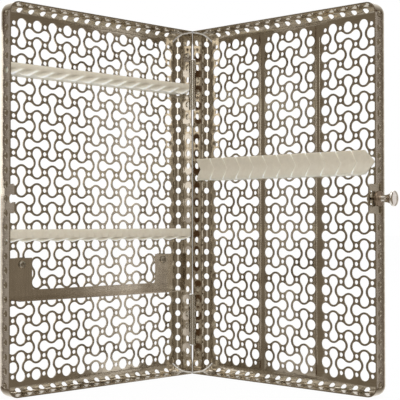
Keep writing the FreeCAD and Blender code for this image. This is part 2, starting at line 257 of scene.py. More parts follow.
# Near-white and barely metallic: the seams' colour is a painted highlight.
WELD_PAINTED_HIGHLIGHT_STEEL = steel("weld_painted_highlight_steel", (0.88, 0.86, 0.82), (0.97, 0.96, 0.94), 0.3, metallic=0.12)
SILICONE = silicone("milky_silicone")


# Trays: mesh cells that are wrapped over folds and walls

def fold_length():
    return FOLD_RADIUS * math.pi / 2


def section(t):
    """Distance in from the outer face, and depth, at a length t from the flat panel over the fold."""
    if t < fold_length():
        angle = t / FOLD_RADIUS
        return FOLD_RADIUS * (1 - math.sin(angle)), TRAY_DEPTH - FOLD_RADIUS * (1 - math.cos(angle))
    return 0.0, TRAY_DEPTH - FOLD_RADIUS - (t - fold_length())


RIM = fold_length() + TRAY_DEPTH - FOLD_RADIUS - RIM_RELIEF
HOLE_LINES = (fold_length() / 2, fold_length() + TRAY_DEPTH - FOLD_RADIUS - HOLE_LEVEL)
ROW_LIMITS = ((0.0, fold_length()), (fold_length(), RIM))
END_RUN = TRAY_WIDTH - CORNER_RADIUS - AXIS_OFFSET
ARC = CORNER_RADIUS * math.pi / 2
FRONT_RUN = TRAY_HEIGHT - 2 * CORNER_RADIUS
PATH_LENGTH = 2 * (END_RUN + ARC) + FRONT_RUN


def around(s, t):
    """From the top of the hinge wall over the top, down the front and back along the bottom."""
    if s > PATH_LENGTH / 2:
        u, w, z = around(PATH_LENGTH - s, t)
        return u, w, TRAY_HEIGHT - z
    inward, depth = section(t)
    if s <= END_RUN:
        return AXIS_OFFSET + s, depth, TRAY_HEIGHT - inward
    if s <= END_RUN + ARC:
        angle = (s - END_RUN) / CORNER_RADIUS
        radius = CORNER_RADIUS - inward
        return (TRAY_WIDTH - CORNER_RADIUS + radius * math.sin(angle), depth,
                TRAY_HEIGHT - CORNER_RADIUS + radius * math.cos(angle))
    return TRAY_WIDTH - inward, depth, TRAY_HEIGHT - CORNER_RADIUS - (s - END_RUN - ARC)


def mix(a, b, share):
    return a + (b - a) * share


def hinge_offset(z):
    """How far the hinge wall stands off the axis: a little more where the leaves lie behind it."""
    reach = abs(abs(z - MIDDLE) - (MIDDLE - HINGE_DISTANCE))
    share = min(max((LEAF_SEAT_HALF + SEAT_EASE - reach) / SEAT_EASE, 0.0), 1.0)
    return mix(AXIS_OFFSET, LEAF_SEAT, share * share * (3.0 - 2.0 * share))


def up_the_hinge(s, t):
    inward, depth = section(t)
    return hinge_offset(s) + inward, depth, s


class Span:
    """A stretch of wall between two places; the mitre of a sharp corner leans one of its ends."""

    def __init__(self, start, end, steps, hole=None, mitre=None):
        self.start = start
        self.end = end
        self.steps = steps
        self.hole = hole
        self.mitre = mitre

    def at(self, share, t):
        inward = section(t)[0]
        start = self.start + inward if self.mitre == "start" else self.start
        end = self.end - inward if self.mitre == "end" else self.end
        return mix(start, end, share)

    def places(self, t):
        return [self.at(step / self.steps, t) for step in range(self.steps + 1)]


def cells(start, count):
    return [Span(start + HOLE_PITCH * number, start + HOLE_PITCH * (number + 1), CELL_STEPS,
                 hole=start + HOLE_PITCH * (number + 0.5)) for number in range(count)]


def path_spans():
    """The spans of the end walls, the rounded corners and the front wall, in the order of around()."""
    first = HINGE_MARGIN - PITCH / 4 - AXIS_OFFSET
    end_cells = cells(first, END_CELLS)
    front = PATH_LENGTH / 2 - SIDE_CELLS * HOLE_PITCH / 2
    front_cells = cells(front, SIDE_CELLS)
    spans = [Span(0.0, first, HINGE_END_STEPS, mitre="start")] + end_cells
    spans.append(Span(end_cells[-1].end, front, CORNER_STEPS))
    spans += front_cells
    back = PATH_LENGTH - end_cells[-1].end
    spans.append(Span(front_cells[-1].end, back, CORNER_STEPS))
    spans += cells(back, END_CELLS)
    spans.append(Span(PATH_LENGTH - first, PATH_LENGTH, HINGE_END_STEPS, mitre="end"))
    return spans


def hinge_spans():
    spans = cells(MIDDLE - SIDE_CELLS * HOLE_PITCH / 2 - HINGE_HOLE_DROP, SIDE_CELLS)
    spans[0].start = 0.0
    spans[0].mitre = "start"
    spans[-1].end = TRAY_HEIGHT
    spans[-1].mitre = "end"
    return spans


class Skin:
    """The outer skin of one tray, gathered as points and faces in the tray's own distances."""

    def __init__(self):
        self.points = []
        self.faces = []

    def add(self, points, faces):
        start = len(self.points)
        self.points += points
        self.faces += [tuple(start + index for index in face) for face in faces]

    def grid(self, rows):
        width = len(rows[0])
        faces = [(r * width + c, r * width + c + 1, (r + 1) * width + c + 1, (r + 1) * width + c)
                 for r in range(len(rows) - 1) for c in range(width - 1)]
        self.add([point for row in rows for point in row], faces)

    def drilled(self, wrap, span, limits, line):
        """A cell with a round hole: rings of faces between the hole and the cell's border."""
        steps = CELL_STEPS
        border = [(span.at(i / steps, limits[0]), limits[0]) for i in range(steps)]
        border += [(span.at(1.0, mix(*limits, i / steps)), mix(*limits, i / steps)) for i in range(steps)]
        border += [(span.at(1 - i / steps, limits[1]), limits[1]) for i in range(steps)]
        border += [(span.at(0.0, mix(*limits, 1 - i / steps)), mix(*limits, 1 - i / steps)) for i in range(steps)]
        rings = []
        for share in RING_SHARES:
            ring = []
            for s, t in border:
                angle = math.atan2(t - line, s - span.hole)
                hole_s = span.hole + HOLE_RADIUS * math.cos(angle)
                hole_t = line + HOLE_RADIUS * math.sin(angle)
                ring.append(wrap(mix(hole_s, s, share), mix(hole_t, t, share)))
            rings.append(ring + ring[:1])
        self.grid(rings)

    def plain(self, wrap, span, limits):
        levels = [mix(*limits, step / CELL_STEPS) for step in range(CELL_STEPS + 1)]
        self.grid([[wrap(s, t) for s in span.places(t)] for t in levels])

    def patch(self, wrap, outline, holes):
        """A flat piece of wall with any outline, filled with triangles."""
        work = bmesh.new()
        for loop in [outline] + holes:
            corners = [work.verts.new((s, t, 0.0)) for s, t in loop]
            for first, second in zip(corners, corners[1:] + corners[:1]):
                work.edges.new((first, second))
        bmesh.ops.triangle_fill(work, use_beauty=True, edges=work.edges[:])
        work.verts.index_update()
        self.add([wrap(v.co.x, v.co.y) for v in work.verts], [[v.index for v in f.verts] for f in work.faces])
        work.free()


def wall_hole(s):
    turns = [2 * math.pi * step / HOLE_STEPS for step in range(HOLE_STEPS)]
    return [(s + HOLE_RADIUS * math.cos(turn), HOLE_LINES[1] + HOLE_RADIUS * math.sin(turn)) for turn in turns]


def patch_border(spans):
    """The three sides that a patch shares with its neighbours, from rim to fold to rim."""
    low, high = ROW_LIMITS[1]
    first, last = spans[0], spans[-1]
    border = [(first.start, mix(high, low, i / CELL_STEPS)) for i in range(CELL_STEPS)]
    for span in spans:
        border += [(s, low) for s in span.places(low)[:-1]]
    border += [(last.end, mix(low, high, i / CELL_STEPS)) for i in range(CELL_STEPS + 1)]
    return border


def at_depth(depth):
    return fold_length() + TRAY_DEPTH - FOLD_RADIUS - depth


def catch_rim(middle):
    """The base's rim rises in a tongue with a keyhole for the latch's boss."""
    tip = at_depth(-TONGUE_REACH)
    lean = 2 * (TONGUE_HALF - TONGUE_TIP_HALF)
    seat = at_depth(-LATCH_DROP)
    opening = math.asin(MOUTH_HALF / SEAT_RADIUS)
    points = [(middle + TONGUE_HALF, RIM), (middle + TONGUE_HALF, tip - lean), (middle + TONGUE_TIP_HALF, tip),
              (middle + MOUTH_HALF, tip)]
    for step in range(HOLE_STEPS + 1):
        angle = opening + (2 * math.pi - 2 * opening) * step / HOLE_STEPS
        points.append((middle + SEAT_RADIUS * math.sin(angle), seat + SEAT_RADIUS * math.cos(angle)))
    points += [(middle - MOUTH_HALF, tip), (middle - TONGUE_TIP_HALF, tip), (middle - TONGUE_HALF, tip - lean),
               (middle - TONGUE_HALF, RIM)]
    return points


def notch_rim(middle, half, depth, corner=0.0):
    bottom = at_depth(depth)
    points = [(middle + half, RIM), (middle + half, bottom + corner)]
    if corner:
        points.append((middle + half - corner, bottom))
        points.append((middle - half + corner, bottom))
    points += [(middle - half, bottom + corner), (middle - half, RIM)]
    return points


def lattice(column, row, side):
    from_hinge = column if side == LID else COLUMNS - 1 - column
    return HINGE_MARGIN + from_hinge * PITCH, TRAY_HEIGHT - END_MARGIN - row * PITCH


def perforations(side):
    """Places of the panel's holes, by form: 1 level dumbbell, 2 upright dumbbell, 3 lobe, 4 small hole."""
    beads = BEADS if side == LID else ()
    lobes = {(i, j) for i in range(COLUMNS) for j in range(ROWS) if (i + j) % 2 and i not in beads}
    found = []
    for i in range(1, COLUMNS, 2):
        for j in range(1, ROWS, 2):
            upright = (i % 4, j % 4) in ((1, 1), (3, 3))
            ends = ((i, j - 1), (i, j + 1)) if upright else ((i - 1, j), (i + 1, j))
            if i not in beads and all(end in lobes for end in ends):
                found.append((*lattice(i, j, side), 2 if upright else 1))
                lobes -= set(ends)
    found += [(*lattice(i, j, side), 3) for i, j in sorted(lobes)]
    found += [(*lattice(i, j, side), 4) for i in range(0, COLUMNS, 2) for j in range(0, ROWS, 2)]
    return found


class Tree:
    """A Geometry Nodes tree, wired by name."""

    def __init__(self, name, inputs):
        self.tree = bpy.data.node_groups.new(name, "GeometryNodeTree")
        face = self.tree.interface
        face.new_socket("Geometry", in_out="INPUT", socket_type="NodeSocketGeometry")
        self.keys = {}
        for label, kind in inputs:
            self.keys[label] = face.new_socket(label, in_out="INPUT", socket_type=kind).identifier
        face.new_socket("Geometry", in_out="OUTPUT", socket_type="NodeSocketGeometry")
        self.start = self.tree.nodes.new("NodeGroupInput")
        self.end = self.tree.nodes.new("NodeGroupOutput")

    def given(self, label):
        return self.start.outputs[label]

    def node(self, kind, settings=None, output=0, **inputs):
        made = self.tree.nodes.new(kind)
        for name, value in (settings or {}).items():
            setattr(made, name, value)
        for name, value in inputs.items():
            key = int(name[1:]) if name[0] == "i" and name[1:].isdigit() else name.replace("_", " ")
            for item in value if isinstance(value, list) else [value]:
                if isinstance(item, bpy.types.NodeSocket):
                    self.tree.links.new(item, made.inputs[key])
                else:
                    made.inputs[key].default_value = item
        return made.outputs[output]

    def maths(self, operation, *values):
        return self.node("ShaderNodeMath", {"operation": operation},
                         **{"i%d" % number: value for number, value in enumerate(values)})

    def close(self, geometry):
        """Every tree ends in plain geometry with its material."""
        plain = self.node("GeometryNodeRealizeInstances", Geometry=geometry)
        dressed = self.node("GeometryNodeSetMaterial", Geometry=plain, Material=self.given("Material"))
        self.tree.links.new(dressed, self.end.inputs[0])

    def grow(self, mesh, **values):
        """Runs the tree on a mesh and gives the plain mesh that it makes."""
        carrier = bpy.data.objects.new("carrier", mesh)
        bpy.context.scene.collection.objects.link(carrier)
        modifier = carrier.modifiers.new("tree", "NODES")
        modifier.node_group = self.tree
        for label, value in values.items():
            modifier[self.keys[label.replace("_", " ")]] = value
        depsgraph = bpy.context.evaluated_depsgraph_get()
        grown = bpy.data.meshes.new_from_object(carrier.evaluated_get(depsgraph), depsgraph=depsgraph)
        bpy.data.objects.remove(carrier)
        return grown


def perforation_tree():
    """Fills an outline as sheet, with a hole of the right form at each loose point."""
    tree = Tree("perforated_panel", [("Pitch", "NodeSocketFloat"), ("Strut", "NodeSocketFloat"),
                                     ("Small hole", "NodeSocketFloat"), ("Material", "NodeSocketMaterial")])
    pitch, strut = tree.given("Pitch"), tree.given("Strut")
    diagonal = tree.maths("MULTIPLY", pitch, math.sqrt(2))
    lobe = tree.maths("MULTIPLY", tree.maths("SUBTRACT", diagonal, strut), 0.5)
    waist = tree.maths("ADD", lobe, strut)
    ends = tree.node("GeometryNodeCurveArc", {"mode": "RADIUS"}, Resolution=14, Radius=lobe,
                     Start_Angle=math.radians(-135), Sweep_Angle=math.radians(270))
    sides = tree.node("GeometryNodeCurveArc", {"mode": "RADIUS"}, Resolution=6, Radius=waist,
                      Start_Angle=math.radians(-135), Sweep_Angle=math.radians(90))
    right = tree.node("GeometryNodeTransform", Geometry=ends,
                      Translation=tree.node("ShaderNodeCombineXYZ", X=pitch))
    above = tree.node("GeometryNodeTransform", Geometry=sides,
                      Translation=tree.node("ShaderNodeCombineXYZ", Y=pitch))
    half = tree.node("GeometryNodeJoinGeometry", Geometry=[right, above])
    other = tree.node("GeometryNodeTransform", Geometry=half, Rotation=(0.0, 0.0, math.pi))
    wires = tree.node("GeometryNodeCurveToMesh", Curve=tree.node("GeometryNodeJoinGeometry", Geometry=[half, other]))
    joined = tree.node("GeometryNodeMergeByDistance", Geometry=wires, Distance=0.01)
    dumbbell = tree.node("GeometryNodeMeshToCurve", Mesh=joined)
    single = tree.node("GeometryNodeCurvePrimitiveCircle", {"mode": "RADIUS"}, Resolution=20, Radius=lobe)
    small = tree.node("GeometryNodeCurvePrimitiveCircle", {"mode": "RADIUS"}, Resolution=12,
                      Radius=tree.given("Small hole"))
    form = tree.node("GeometryNodeInputNamedAttribute", {"data_type": "INT"}, Name="form")
    curves = []
    for number, shape, turn in ((0, None, 0), (1, dumbbell, 0), (2, dumbbell, math.pi / 2), (3, single, 0),
                                (4, small, 0)):
        chosen = tree.node("FunctionNodeCompare", {"data_type": "INT", "operation": "EQUAL"}, i2=form, i3=number)
        kept = tree.node("GeometryNodeSeparateGeometry", {"domain": "POINT"}, Geometry=tree.given("Geometry"),
                         Selection=chosen)
        if shape is None:
            curves.append(tree.node("GeometryNodeMeshToCurve", Mesh=kept))
        else:
            points = tree.node("GeometryNodeMeshToPoints", Mesh=kept)
            copies = tree.node("GeometryNodeInstanceOnPoints", Points=points, Instance=shape,
                               Rotation=(0.0, 0.0, turn))
            curves.append(tree.node("GeometryNodeRealizeInstances", Geometry=copies))
    outline = tree.node("GeometryNodeJoinGeometry", Geometry=curves)
    tree.close(tree.node("GeometryNodeFillCurve", Curve=outline))
    return tree


def panel_outline(spans, hinge):
    """The flat panel's border, through the same points as the folds around it."""
    loop = []
    for span in spans:
        loop += [around(s, 0.0) for s in span.places(0.0)[:-1]]
    for span in hinge:
        loop += [up_the_hinge(s, 0.0) for s in span.places(0.0)[:-1]]
    return [(u, z) for u, w, z in loop]


def bead_columns_of(side):
    return [HINGE_MARGIN + column * PITCH for column in BEADS] if side == LID else []


def bead_rows(centre):
    """A pressed bead that rises from the panel and runs out at both ends."""
    rows = []
    for step in range(BEAD_STEPS + 1):
        z = mix(BEAD_END, TRAY_HEIGHT - BEAD_END, step / BEAD_STEPS)
        rise = min(1.0, min(step, BEAD_STEPS - step) / BEAD_RUN_OUT)
        rows.append([(centre + across * BEAD_WIDTH / 2, TRAY_DEPTH - BEAD_HEIGHT * height * rise, z)
                     for across, height in BEAD_PROFILE])
    return rows


def bead_border(rows):
    right = [row[-1] for row in rows]
    left = [row[0] for row in rows]
    loop = rows[0][:-1] + right[:-1] + rows[-1][::-1][:-1] + left[::-1][:-1]
    return [(u, z) for u, w, z in loop]


def panel(side, spans, hinge, tree):
    """The flat lattice: outlines with form 0 and loose points with a hole's form go through the tree."""
    mesh = bpy.data.meshes.new("lattice")
    loops = [panel_outline(spans, hinge)] + [bead_border(bead_rows(u)) for u in bead_columns_of(side)]
    points, edges, forms = [], [], []
    for loop in loops:
        start = len(points)
        points += [(u, z, 0.0) for u, z in loop]
        edges += [(start + i, start + (i + 1) % len(loop)) for i in range(len(loop))]
        forms += [0] * len(loop)
    for u, z, form in perforations(side):
        points.append((u, z, 0.0))
        forms.append(form)
    mesh.from_pydata(points, edges, [])
    mesh.attributes.new("form", "INT", "POINT").data.foreach_set("value", forms)
    return tree.grow(mesh, Pitch=PITCH, Strut=STRUT, Small_hole=SMALL_HOLE_RADIUS, Material=TRAY_STEEL)


def mesh_object(name, mesh, material):
    made = bpy.data.objects.new(name, mesh)
    bpy.context.scene.collection.objects.link(made)
    mesh.materials.clear()
    mesh.materials.append(material)
    return made


def smooth(mesh, degrees=32.0):
    mesh.shade_smooth()
    mesh.set_sharp_from_angle(angle=math.radians(degrees))


def tray_skin(side, tree):
    """Walls and folds cell by cell, patches where the rim has a form of its own, and the lattice panel."""
    spans, hinge = path_spans(), hinge_spans()
    barrels = (HINGE_DISTANCE, TRAY_HEIGHT - HINGE_DISTANCE)
    front_patch = [span for span in spans if span.hole and abs(span.hole - PATH_LENGTH / 2) < CATCH_REACH]
    hinge_patches = [[span for span in hinge if span.start < z + NOTCH_HALF and span.end > z - NOTCH_HALF]
                     for z in barrels]
    patched = front_patch + [span for group in hinge_patches for span in group]
    skin = Skin()
    for wrap, group in ((around, spans), (up_the_hinge, hinge)):
        for span in group:
            for limits, line in zip(ROW_LIMITS, HOLE_LINES):
                if limits == ROW_LIMITS[1] and span in patched:
                    continue
                if span.hole is None:
                    skin.plain(wrap, span, limits)
                else:
                    skin.drilled(wrap, span, limits, line)
    middle = PATH_LENGTH / 2
    if side == BASE:
        skin.patch(around, patch_border(front_patch) + catch_rim(middle),
                   [wall_hole(span.hole) for span in front_patch])
    else:
        rim = notch_rim(middle, CATCH_NOTCH_HALF, CATCH_NOTCH_DEPTH, CATCH_NOTCH_CORNER)
        skin.patch(around, patch_border(front_patch) + rim, [])
    for group, z in zip(hinge_patches, barrels):
        skin.patch(up_the_hinge, patch_border(group) + notch_rim(z, NOTCH_HALF, NOTCH_DEPTH),
                   [wall_hole(span.hole) for span in group])
    for u in bead_columns_of(side):
        skin.grid(bead_rows(u))
    flat = panel(side, spans, hinge, tree)
    skin.add([(v.co.x, TRAY_DEPTH, v.co.y) for v in flat.vertices], [tuple(f.vertices) for f in flat.polygons])
    return skin


def tray(side, name, tree):
    """The tray's skin, joined up, turned outwards and given the sheet's thickness."""
    skin = tray_skin(side, tree)
    mesh = bpy.data.meshes.new(name)
    mesh.from_pydata([place(side, *point) for point in skin.points], [], skin.faces)
    work = bmesh.new()
    work.from_mesh(mesh)
    bmesh.ops.remove_doubles(work, verts=work.verts[:], dist=MERGE_DISTANCE * MM)
    bmesh.ops.recalc_face_normals(work, faces=work.faces[:])
    outward = (place(side, 0, 1, 0) - place(side, 0, 0, 0)).normalized()
    flat_faces = [face for face in work.faces if abs(face.normal.dot(outward)) > 0.9]
    if sum(face.normal.dot(outward) * face.calc_area() for face in flat_faces) < 0:
        bmesh.ops.reverse_faces(work, faces=work.faces[:])
    work.to_mesh(mesh)
    work.free()
    piece = mesh_object(name, mesh, TRAY_STEEL)
    wall = piece.modifiers.new("sheet", "SOLIDIFY")
    wall.thickness = SHEET * MM
    wall.offset = -1.0
    wall.use_even_offset = True
    settle(piece)
    keep_off_the_axis(side, piece.data)
    smooth(piece.data)
    return piece


def keep_off_the_axis(side, mesh):
    """Brings back the corners that the sheet's even thickness pushes past the hinge gap."""
    start = place(side, AXIS_OFFSET, 0, 0)
    inward = (place(side, 1, 0, 0) - place(side, 0, 0, 0)).normalized()
    for vertex in mesh.vertices:
        past = (vertex.co - start).dot(inward)
        if past < 0:
            vertex.co -= inward * past


def settle(piece):
    """Turns a piece's modifiers into plain mesh."""
    depsgraph = bpy.context.evaluated_depsgraph_get()
    mesh = bpy.data.meshes.new_from_object(piece.evaluated_get(depsgraph), depsgraph=depsgraph)
    piece.modifiers.clear()
    piece.data = mesh


def declare(piece, body, slot, *nodes):
    """Says which body carries a piece and the CAD nodes that it replaces; slot, its kind of material, is not used.
    """
    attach(piece, body)
    if nodes:
        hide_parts(*nodes)


def make_trays():
    tree = perforation_tree()
    declare(tray(BASE, "base_tray_pressing", tree), "base", "tray_steel", "base_tray")
    declare(tray(LID, "lid_tray_pressing", tree), "lid", "tray_steel", "lid_tray")


# Soft pieces

PANEL_INSIDE = TRAY_DEPTH - SHEET
SOFT_TOP = 0.7
SOFT_NEAR = 1.1
BARREL_NEAR = 2.55
SOFT_FAR = TRAY_WIDTH - SHEET - 0.3
SOFT_CHAMFER = 6.2

STRIP_ROW = 15.1
STRIP_HALF = 7.8
STRIP_NEAR = 2.7
STRIP_TIP = 8.0
STRIP_SLOPE = 1.2
STRIP_THINNEST = 0.35
# Painted light on the strip's underside, which lifts its shade.
STRIP_UNDERSIDE_PAINTED_LIGHT = 0.55
CHEVRON_PITCH = 12.0
CHEVRON_REACH = 4.4
CHEVRON_SLIT = 1.0
SLIT_DEPTH = 0.2
SLIT_EDGE_DEPTH = 0.4
# Across the strip from its lower edge to its upper one: place, depth below the top, glow (painted light level,
# highest as a painted highlight on the lower lip)
STRIP_SECTION = (
    (-1.0, 1.5, 0.72), (-0.97, 0.8, 0.6), (-0.86, 0.2, 0.42), (-0.7, 0.0, 0.36), (-0.5, 0.0, 0.36),
    (-0.25, 0.0, 0.34), (0.0, 0.0, 0.3), (0.25, 0.0, 0.27), (0.5, 0.0, 0.25), (0.7, 0.0, 0.25),
    (0.88, 0.0, 0.25), (0.97, 0.25, 0.3), (1.0, 0.8, 0.35),
)
# Along the strip through one slit: distance from its start, share of its depth, painted highlight on the slit's
# edges
SLIT_STATIONS = (
    (-0.9, 0.0, 0.0), (-0.08, 0.0, 0.1), (0.15, 1.0, 0.9), (CHEVRON_SLIT - 0.15, 1.0, 0.9),
    (CHEVRON_SLIT + 0.08, 0.0, 0.25), (CHEVRON_SLIT + 1.2, 0.0, 0.0),
)

RAIL_HALF = 3.4
RAIL_STATIONS = 300
RAIL_STEPS = 8
RIDGE_SLANT = 9.0
RIDGE_SWELL = 0.55
# Row of the lattice, hinge-side end, share of the face that is smooth, and reach of the ridges below it
UPPER_RAIL = (5.25, BARREL_NEAR, 0.42, 0.9)
LOWER_RAIL = (22.8, SOFT_NEAR, 0.8, 1.4)


def row_height(row):
    return TRAY_HEIGHT - END_MARGIN - row * PITCH


def soft_floor(u):
    """Depth of a soft piece's underside: on the panel, and lifted clear of the folds at both ends."""
    lift = max(0.0, SOFT_CHAMFER - (u - SOFT_NEAR), SOFT_CHAMFER - (SOFT_FAR - u))
    return PANEL_INSIDE - min(lift, SOFT_CHAMFER)


def loft(name, side, loops, painted_light_levels, material, degrees=40.0, ends=None):
    """A closed skin through rings of points, with a painted light level (glow) at each point; ends lists each flat
    face of an end.
    """
    points = [place(side, *point) for loop in loops for point in loop]
    count = len(loops[0])
    faces = [(r * count + c, r * count + (c + 1) % count, (r + 1) * count + (c + 1) % count, (r + 1) * count + c)
             for r in range(len(loops) - 1) for c in range(count)]
    for first in (0, len(points) - count):
        faces += [tuple(first + corner for corner in end) for end in ends or (range(count),)]
    mesh = bpy.data.meshes.new(name)
    mesh.from_pydata(points, [], faces)
    mesh.attributes.new("glow", "FLOAT", "POINT").data.foreach_set("value", [g for ring in painted_light_levels for g in ring])
    work = bmesh.new()
    work.from_mesh(mesh)
    bmesh.ops.recalc_face_normals(work, faces=work.faces[:])
    work.to_mesh(mesh)
    work.free()
    smooth(mesh, degrees)
    return mesh_object(name, mesh, material)


def strip():
    """Hold-down strip: a chevron band whose slits open towards its edges, with painted highlights on the slit edges
    and the lower lip, and painted light on its shaded ends and underside.
    """
    middle = row_height(STRIP_ROW)
    last = SOFT_FAR - STRIP_TIP
    # The end stations carry painted light over the shade at the strip's ends.
    stations = [(STRIP_NEAR, 0.0, 0.25, CHEVRON_REACH), (STRIP_NEAR + 0.3, 0.0, 0.0, CHEVRON_REACH)]
    slits = int((TRAY_WIDTH / 2 - SOFT_CHAMFER) // CHEVRON_PITCH)
    for number in range(-slits, slits + 1):
        start = TRAY_WIDTH / 2 + number * CHEVRON_PITCH - CHEVRON_REACH / 2
        stations += [(start + aside, slit, painted_light, CHEVRON_REACH) for aside, slit, painted_light in SLIT_STATIONS]
    stations += [(last - 0.5, 0.0, 0.0, STRIP_TIP), (last, 0.0, 0.35, STRIP_TIP)]
    underside = ((1.0, STRIP_SECTION[-1][1]), (0.0, 0.0), (-1.0, STRIP_SECTION[0][1]))
    loops, painted_light_levels = [], []
    for a, slit, painted_light, reach in stations:
        loop, ring = [], []
        for v, down, light in STRIP_SECTION:
            depth = SOFT_TOP + down + slit * (SLIT_DEPTH + SLIT_EDGE_DEPTH * abs(v))
            loop.append((a + reach * (1 - abs(v)), depth, middle + v * STRIP_HALF))
            # Slit edges are painted lighter towards the strip's edges, as a painted highlight.
            ring.append(light + painted_light * (0.14 + (0.9 if v < 0 else 0.5) * max(0.0, abs(v) * 1.5 - 0.5)))
        for v, down in underside:
            u = a + reach * (1 - abs(v))
            top = SOFT_TOP + down + slit * (SLIT_DEPTH + SLIT_EDGE_DEPTH)
            depth = min(soft_floor(u), SOFT_TOP + max(0.0, min(a - STRIP_NEAR, last - a)) * STRIP_SLOPE)
            loop.append((u, max(depth, top + STRIP_THINNEST), middle + v * STRIP_HALF))
            ring.append(STRIP_UNDERSIDE_PAINTED_LIGHT)
        loops.append(loop)
        painted_light_levels.append(ring)
    count = len(STRIP_SECTION)
    half = count // 2
    ends = ((*range(half + 1), count + 1, count + 2), (*range(half, count), count, count + 1))
    return loft("hold_down_strip_soft", LID, loops, painted_light_levels, SILICONE, ends=ends)


def rail(name, row, near, smooth_share, lip):
    """Rail whose lower front edge is moulded in slanted ridges, one for each instrument; its glow paints highlights
    on the crests and the lower lip and shade in the hollows between.
    """
    middle = row_height(row)
    split = RAIL_HALF - smooth_share * 2 * RAIL_HALF
    loops, painted_light_levels = [], []
    for station in range(RAIL_STATIONS + 1):
        u = mix(near, SOFT_FAR, station / RAIL_STATIONS)
        loop = [(u, SOFT_TOP + 0.5, middle + RAIL_HALF), (u, SOFT_TOP, middle + RAIL_HALF - 0.5)]
        ring = [0.4, 0.34]
        for step in range(RAIL_STEPS + 1):
            t = step / RAIL_STEPS
            wave = math.cos((u - RIDGE_SLANT * t) / CHEVRON_PITCH * 2 * math.pi)
            z = mix(split, -RAIL_HALF - lip * (0.5 + 0.5 * wave), t)
            fade = min(1.0, 4 * t)
            depth = SOFT_TOP + 0.25 * t + fade * RIDGE_SWELL * (1 - wave) + 0.7 * t * t
            loop.append((u, depth, middle + z))
            # Painted highlight on the crests, painted shade in the hollows between them, and a painted highlight
            # along the lower lip.
            ridge_highlight = max(0.0, wave) ** 3
            pocket_shade = max(0.0, -wave) ** 1.5
            ring.append(0.32 + fade * (0.55 * ridge_highlight - 0.24 * pocket_shade * (1 - t)) + 0.42 * t ** 3)
        floor = max(soft_floor(u), SOFT_TOP + 3.0)
        loop += [(u, mix(SOFT_TOP + 2.0, floor, 0.5), middle - RAIL_HALF + 0.3), (u, floor, middle - RAIL_HALF),
                 (u, floor, middle + RAIL_HALF)]
        ring += [0.7, 0.5, 0.35]
        loops.append(loop)
        painted_light_levels.append(ring)
    return loft(name, BASE, loops, painted_light_levels, SILICONE, 60.0)


def make_soft():
    declare(strip(), "lid", "silicone", "hold_down_strip")
    declare(rail("upper_rail_soft", *UPPER_RAIL), "base", "silicone", "upper_rail")
    declare(rail("lower_rail_soft", *LOWER_RAIL), "base", "silicone", "lower_rail")


# Turned and bent pieces

PLATE_GAP = 0.4
PLATE_SHEET = 1.0
PLATE_SEAT = TRAY_WIDTH - SHEET - PLATE_GAP - PLATE_SHEET
STEM_RADIUS = 1.95
STEM_EASE = 0.2
STEM_END = PLATE_SEAT - 3.0
BOSS_RADIUS = 2.5
BOSS_IN = 153.8
COLLAR_RADIUS = 4.95
COLLAR_EASE = 0.3
COLLAR_IN = TRAY_WIDTH + 0.3
COLLAR_OUT = COLLAR_IN + 2.0
NECK_RADIUS = 2.3
NECK_FILLET = 0.4
NECK_RUN = 2.4
FLARE_STEPS = 12
FLARE_POWER = 2.6
HEAD_RADIUS = 5.0
HEAD_RIM = 1.4
KNOB_END = COLLAR_OUT + 10.6
# The head's rounded end: distance before the end, and how much less than the head's radius
HEAD_ROUNDING = ((0.9, 0.0), (0.4, 0.25), (0.1, 0.9), (0.0, 2.2))
# How far the collar's painted dark reflection reaches onto the neck.
PAINTED_REFLECTION_REACH = 0.2

SCREW_ROW = 26.0
SCREW_COLUMNS = {"front": 1, "hinge": 21}
BRACKET_SHEET = 0.8
# Along the screw from the tip of its shank, with distance from the head's seat and radius
SCREW_PROFILE = (
    (-3.4, 0), (-3.4, 1.4), (-3.2, 1.5), (0.0, 1.5), (0.0, 2.5), (0.15, 2.65), (0.5, 2.6), (0.95, 2.35),
    (1.3, 1.95), (1.55, 1.45), (1.6, 1.15), (1.6, 1.0), (0.7, 1.0), (0.7, 0),
)
SOCKET_RINGS = (11, 12)

WELD_RADIUS = 0.66
WELD_STEPS = 18
SPRING_TURNS = 3.5
SPRING_RADIUS = 2.17
SPRING_WIRE = 0.13
SPRING_STEPS = 96
TURNED_STEPS = 48
TUBE_ROUNDING = 2


def turned(name, profile, start, way, material, degrees=35.0, hexagon=()):
    """A turned piece; rings whose numbers are in hexagon are six-sided, as in a socket."""
    way = way.normalized()
    side_way = way.cross(Vector((0, 0, 1))).normalized()
    up = side_way.cross(way)
    points, rings = [], []
    for number, (along, radius) in enumerate(profile):
        ring = []
        for step in range(1 if radius == 0 else TURNED_STEPS):
            angle = 2 * math.pi * step / TURNED_STEPS
            reach = radius
            if number in hexagon:
                reach = radius / math.cos((angle % (math.pi / 3)) - math.pi / 6)
            ring.append(len(points))
            points.append(start + (way * along + side_way * reach * math.cos(angle)
                                   + up * reach * math.sin(angle)) * MM)
        rings.append(ring)
    faces = []
    for first, second in zip(rings, rings[1:]):
        for step in range(TURNED_STEPS):
            after = (step + 1) % TURNED_STEPS
            corners = [first[step % len(first)], first[after % len(first)], second[after % len(second)],
                       second[step % len(second)]]
            faces.append(tuple(dict.fromkeys(corners)))
    mesh = bpy.data.meshes.new(name)
    mesh.from_pydata(points, [], faces)
    work = bmesh.new()
    work.from_mesh(mesh)
    bmesh.ops.recalc_face_normals(work, faces=work.faces[:])
    work.to_mesh(mesh)
    work.free()
    smooth(mesh, degrees)
    return mesh_object(name, mesh, material)


